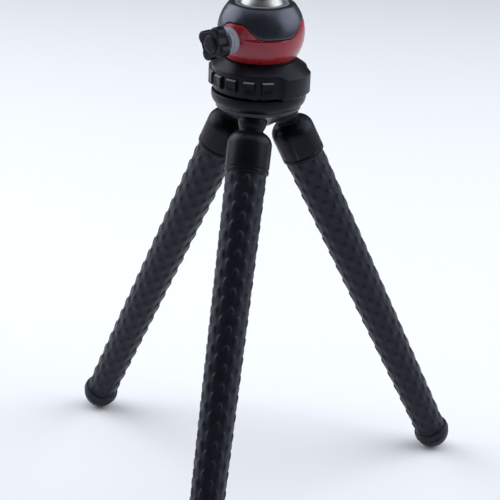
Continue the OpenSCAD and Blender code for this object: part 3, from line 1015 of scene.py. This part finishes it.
def sleeve_piece(side, place, k):
    """The sleeve across joint k, from the middle of one link to the middle of the next.

    The first starts inside the cuff, and the last ends at the foot."""
    first = CUFF_END - SLEEVE_TUCK if k == 0 else CUFF_END + (k - 0.5) * LINK_LEN
    last = LEG_END + SLEEVE_LAP if k == LINKS else CUFF_END + (k + 0.5) * LINK_LEN
    shape = sleeve_shape(side, first, last)
    return solid(f"{side}_sleeve_run_{k}", shape, place, "rubber", SLEEVE_SHARP)


def make_leg(side):
    place = leg_place(side)
    hip = f"{side}_hip"
    rigid(f"{side}_ball_root", lathe(root_profile()), place, "black_plastic", hip, f"{side}_root")
    rigid(f"{side}_smooth_cuff", lathe(cuff_profile()), place, "black_plastic", hip, f"{side}_cuff")
    rigid(
        f"{side}_grooved_foot", lathe(foot_profile()), place, "rubber", f"{side}_link_{LINKS}",
        f"{side}_foot",
    )
    bodies = [hip] + [f"{side}_link_{k}" for k in range(1, LINKS + 1)]
    for k in range(LINKS + 1):
        piece = sleeve_piece(side, place, k)
        if k == LINKS:
            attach(piece, bodies[k])
        else:
            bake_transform(piece)
        if k > 0:
            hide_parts(f"{side}_sleeve_{k}")


# CAD nodes that keep their own meshes
KEPT_NODES = {
    "ball": "chrome",
    "head_base": "black_plastic",
    "ball_seat": "nylon",
    "lock_screw": "steel",
    "pan_bolt": "steel",
    "pan_nut": "steel",
    "pan_washer": "nylon",
    "hub_dish": "black_plastic",
    "hub_screws": "steel",
}
KEPT_NODES.update({f"{side}_core_{k}": "core_metal" for side in SIDES for k in range(1, LINKS + 1)})


def dress_nodes():
    for name, material in KEPT_NODES.items():
        mesh = frame["nodes"][name].data
        mesh.materials.clear()
        mesh.materials.append(MATERIALS[material])
        mesh.shade_smooth()
        mesh.set_sharp_from_angle(angle=math.radians(NODE_SHARP))


# Stage, in metres
FLOOR_HALF = 12.0
FLOOR_COLOUR = (0.93, 0.94, 0.965)
FLOOR_ROUGH = 0.6
FLOOR_SPECULAR = 0.1
LAMP_COLOUR = (0.925, 0.955, 1.0)
LAMP_AIM = (-0.05, 0.1, 0.1)
WORLD_COLOUR = (0.9, 0.94, 1.0)
WORLD_STRENGTH = 0.08


def make_floor():
    mesh = bpy.data.meshes.new("floor")
    signs = ((-1, -1), (1, -1), (1, 1), (-1, 1))
    corners = [(x * FLOOR_HALF, y * FLOOR_HALF, 0) for x, y in signs]
    mesh.from_pydata(corners, [], [(0, 1, 2, 3)])
    material, tree = shader("pale_floor")
    bsdf = tree.nodes["Principled BSDF"]
    bsdf.inputs["Base Color"].default_value = (*FLOOR_COLOUR, 1.0)
    bsdf.inputs["Roughness"].default_value = FLOOR_ROUGH
    bsdf.inputs["Specular IOR Level"].default_value = FLOOR_SPECULAR
    mesh.materials.append(material)
    floor = bpy.data.objects.new("floor", mesh)
    bpy.context.scene.collection.objects.link(floor)


def make_world():
    world = bpy.data.worlds.new("studio")
    world.use_nodes = True
    background = world.node_tree.nodes["Background"]
    background.inputs["Color"].default_value = (*WORLD_COLOUR, 1.0)
    background.inputs["Strength"].default_value = WORLD_STRENGTH
    bpy.context.scene.world = world


def softbox(name, at, target, width, height, watts, beam):
    """A flat lamp at one place that faces another and shines within an angle of beam."""
    lamp = bpy.data.lights.new(name, "AREA")
    lamp.shape = "RECTANGLE"
    lamp.size = width
    lamp.size_y = height
    lamp.energy = watts
    lamp.color = LAMP_COLOUR
    lamp.spread = math.radians(beam)
    box = bpy.data.objects.new(name, lamp)
    box.location = at
    box.rotation_euler = (Vector(target) - Vector(at)).to_track_quat("-Z", "Y").to_euler()
    bpy.context.scene.collection.objects.link(box)


def make_lights():
    softbox(
        "left_softbox", at=(-1.15, 0.3, 0.72), target=LAMP_AIM,
        width=1.5, height=1.2, watts=7.4, beam=120.0,
    )
    softbox(
        "right_softbox", at=(1.1, 0.42, 0.8), target=LAMP_AIM,
        width=1.8, height=1.2, watts=8.0, beam=120.0,
    )
    softbox(
        "top_softbox", at=(0.0, 0.2, 1.8), target=(0.0, 0.2, 0.0),
        width=2.6, height=2.2, watts=14.0, beam=140.0,
    )


def make_camera():
    lens = bpy.data.cameras.new("camera")
    lens.lens = CAMERA_LENS
    lens.sensor_width = SENSOR_WIDTH
    camera = bpy.data.objects.new("camera", lens)
    turn = (
        Matrix.Rotation(math.radians(CAMERA_YAW), 4, "Z")
        @ Matrix.Rotation(math.radians(CAMERA_TILT), 4, "X")
        @ Matrix.Rotation(math.radians(CAMERA_ROLL), 4, "Z")
    )
    camera.matrix_world = Matrix.Translation(Vector(CAMERA_AT) * MM) @ turn
    bpy.context.scene.collection.objects.link(camera)
    bpy.context.scene.camera = camera


make_camera()
make_platform()
make_head()
make_hub()
for side in SIDES:
    make_leg(side)
dress_nodes()
make_floor()
make_world()
make_lights()
bpy.context.scene.view_settings.view_transform = "Standard"
